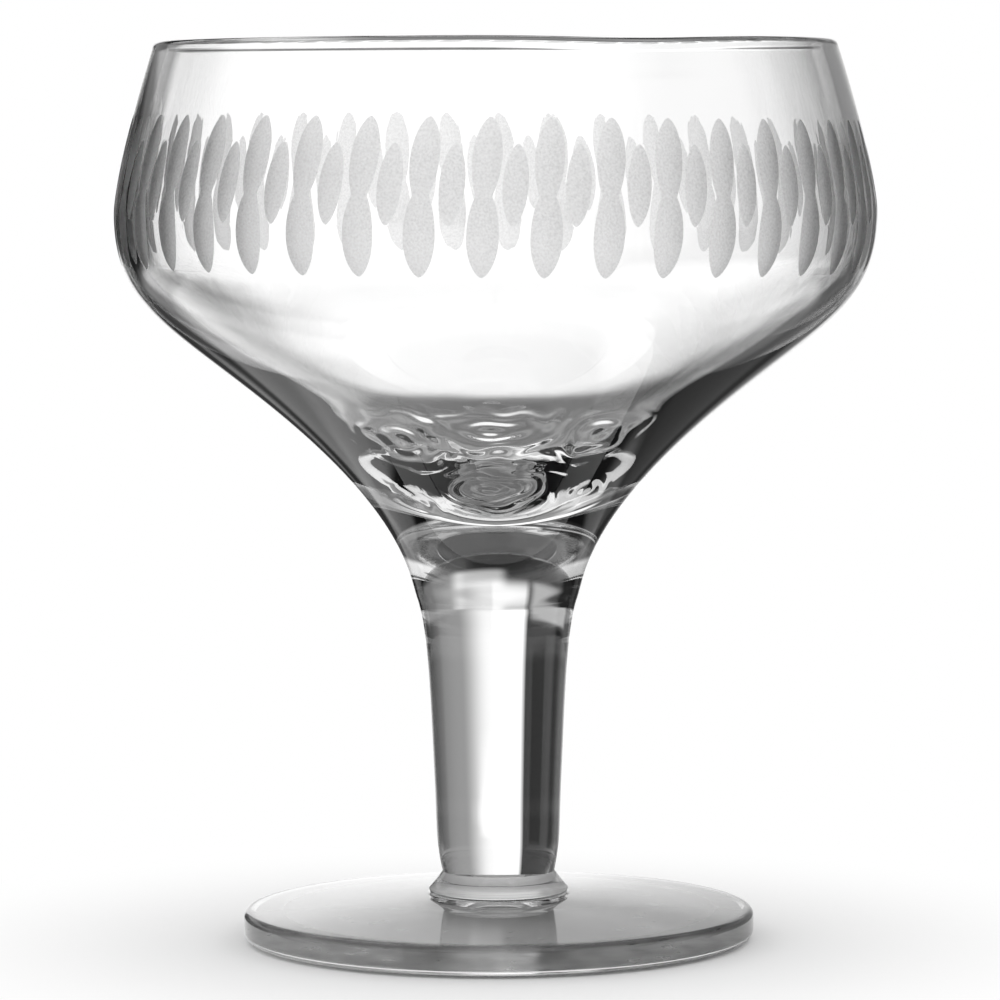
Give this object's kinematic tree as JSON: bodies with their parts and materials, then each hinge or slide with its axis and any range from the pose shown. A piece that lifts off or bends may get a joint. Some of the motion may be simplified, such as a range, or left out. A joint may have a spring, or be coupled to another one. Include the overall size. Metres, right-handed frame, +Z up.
{
  "type": "margarita glass",
  "caption": "Stemmed cocktail glass with a wide shallow bowl that narrows to the rim, a band of frosted cuts, a short solid stem and a round foot.",
  "frame": {"origin": "centre of the circle that the foot rests on, on the axis of the glass", "axes": "+Z up along the axis of the glass, -Y towards the viewer of the picture, +X to that viewer's right"},
  "size_m": [0.0964, 0.0964, 0.114],
  "materials": {
    "clear_glass": "clear, smooth and polished, with fine-grained frosted cuts in the band round the bowl"
  },
  "bodies": {
    "root": {"foot": "clear_glass", "stem": "clear_glass", "bowl": "clear_glass"}
  },
  "joints": []
}
